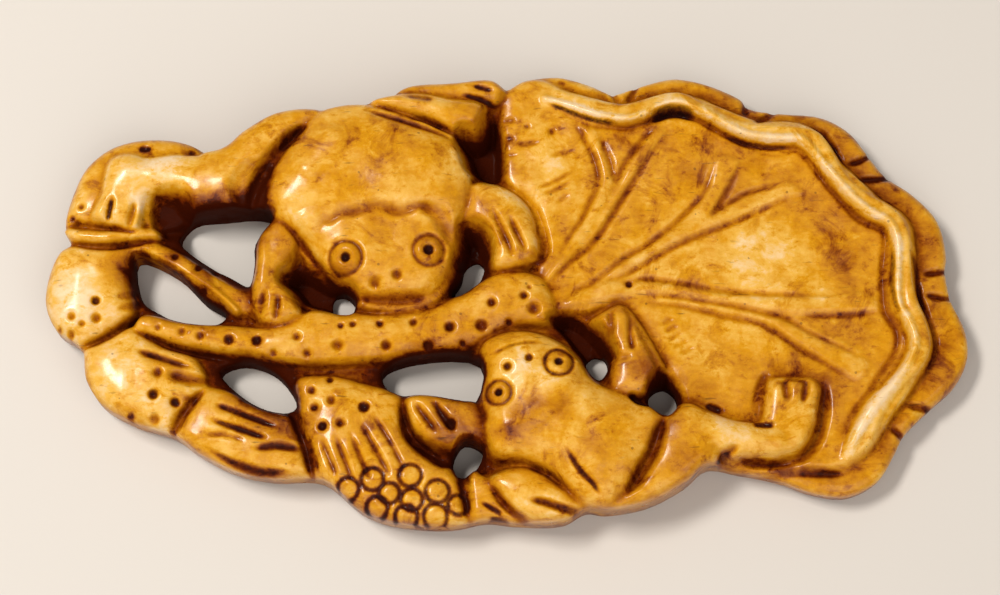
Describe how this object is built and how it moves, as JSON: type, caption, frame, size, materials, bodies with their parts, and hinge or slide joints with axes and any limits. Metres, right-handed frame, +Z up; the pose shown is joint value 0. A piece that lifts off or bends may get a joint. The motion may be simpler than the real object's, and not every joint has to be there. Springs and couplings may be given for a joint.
{
  "type": "carved bone plaque",
  "caption": "Flat-backed pierced bone relief plaque with two frogs, a lotus leaf, stem, root joints, bud and seed pod.",
  "frame": {"origin": "centre of the bounding box's bottom face, on the flat back", "axes": "+X along the length towards the lotus leaf, +Y to the upper frog's side, +Z up out of the relief"},
  "size_m": [0.1001, 0.0507, 0.0093],
  "materials": {
    "bone": null
  },
  "bodies": {
    "root": {"frog_lotus_carving": "bone"}
  },
  "joints": []
}
